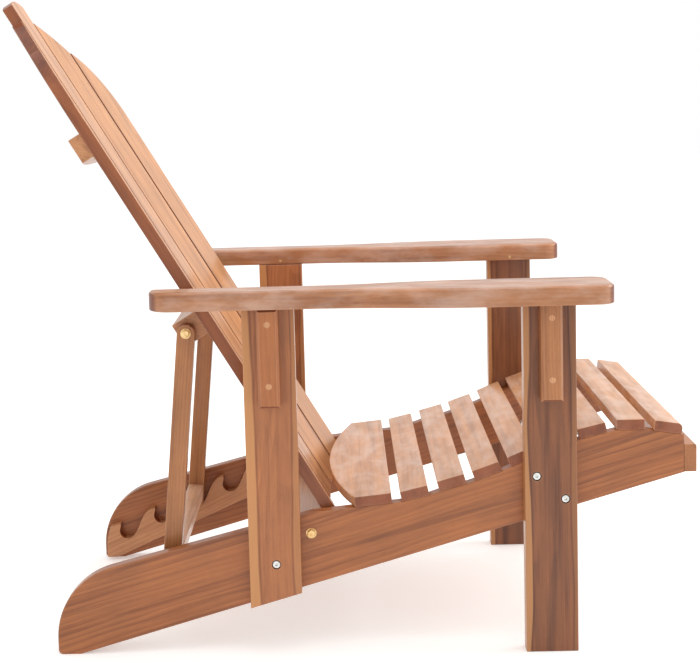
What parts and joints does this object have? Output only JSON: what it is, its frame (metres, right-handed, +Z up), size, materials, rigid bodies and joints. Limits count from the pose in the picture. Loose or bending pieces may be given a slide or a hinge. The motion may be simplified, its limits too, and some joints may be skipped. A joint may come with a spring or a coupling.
{
  "type": "adirondack chair",
  "caption": "Reclining adirondack chair in teak: slatted seat on sloping side rails, flat arms, fan back on pivots with a rear prop frame and notched racks.",
  "frame": {"origin": "on the ground under the centre of the chair's overall box", "axes": "+X the way the sitter faces, +Y the sitter's left, +Z up"},
  "size_m": [1.1998, 0.66, 1.1401],
  "materials": {
    "teak_frame": "oiled satin",
    "teak_seat": "oiled satin",
    "teak_back": "oiled satin",
    "teak_plugs": "oiled satin",
    "brass": "satin",
    "zinc_steel": "zinc plated"
  },
  "bodies": {
    "frame": {"apron_dowels": "teak_plugs", "arm_pins": "brass", "armrest_left": "teak_frame", "armrest_right": "teak_frame", "bracket_plugs": "teak_plugs", "bracket_screws": "zinc_steel", "frame_bolts": "zinc_steel", "frame_nuts": "zinc_steel", "front_apron": "teak_frame", "front_arm_bracket_left": "teak_frame", "front_arm_bracket_right": "teak_frame", "front_leg_left": "teak_frame", "front_leg_right": "teak_frame", "notch_rack_left": "teak_frame", "notch_rack_right": "teak_frame", "rack_dowels": "teak_plugs", "rear_arm_bracket_left": "teak_frame", "rear_arm_bracket_right": "teak_frame", "rear_post_left": "teak_frame", "rear_post_right": "teak_frame", "seat_dowels": "teak_plugs", "seat_slat_1": "teak_seat", "seat_slat_2": "teak_seat", "seat_slat_3": "teak_seat", "seat_slat_4": "teak_seat", "seat_slat_5": "teak_seat", "seat_slat_6": "teak_seat", "seat_slat_7": "teak_seat", "seat_slat_8": "teak_seat", "seat_slat_9": "teak_seat", "side_rail_left": "teak_frame", "side_rail_right": "teak_frame"},
    "back": {"back_cleat_bottom": "teak_frame", "back_cleat_middle": "teak_frame", "back_cleat_top": "teak_frame", "back_screws": "zinc_steel", "back_slat_inner_left": "teak_back", "back_slat_inner_right": "teak_back", "back_slat_middle": "teak_back", "back_slat_outer_left": "teak_back", "back_slat_outer_right": "teak_back", "pivot_barrel_nuts": "brass", "pivot_bolts": "brass", "pivot_washers": "brass", "strut_barrel_nuts": "brass", "strut_bolts": "brass", "strut_washers": "brass"},
    "prop": {"crossbar_dowels": "teak_plugs", "prop_crossbar": "teak_frame", "prop_strut_left": "teak_frame", "prop_strut_right": "teak_frame"}
  },
  "joints": [
    {"name": "back_recline", "type": "hinge", "parent": "frame", "child": "back", "pos_m": [-0.05813, 0, 0.208], "axis": [0, -1, 0], "range_deg": [-10.6, 16.3]},
    {"name": "prop_swing", "type": "hinge", "parent": "back", "child": "prop", "pos_m": [-0.26625, 0, 0.55195], "axis": [0, 1, 0], "range_deg": [-14.1, 21.7]}
  ],
  "couplings": [
    {"joint": "prop_swing", "follows": "back_recline", "ratio": 1.32}
  ]
}
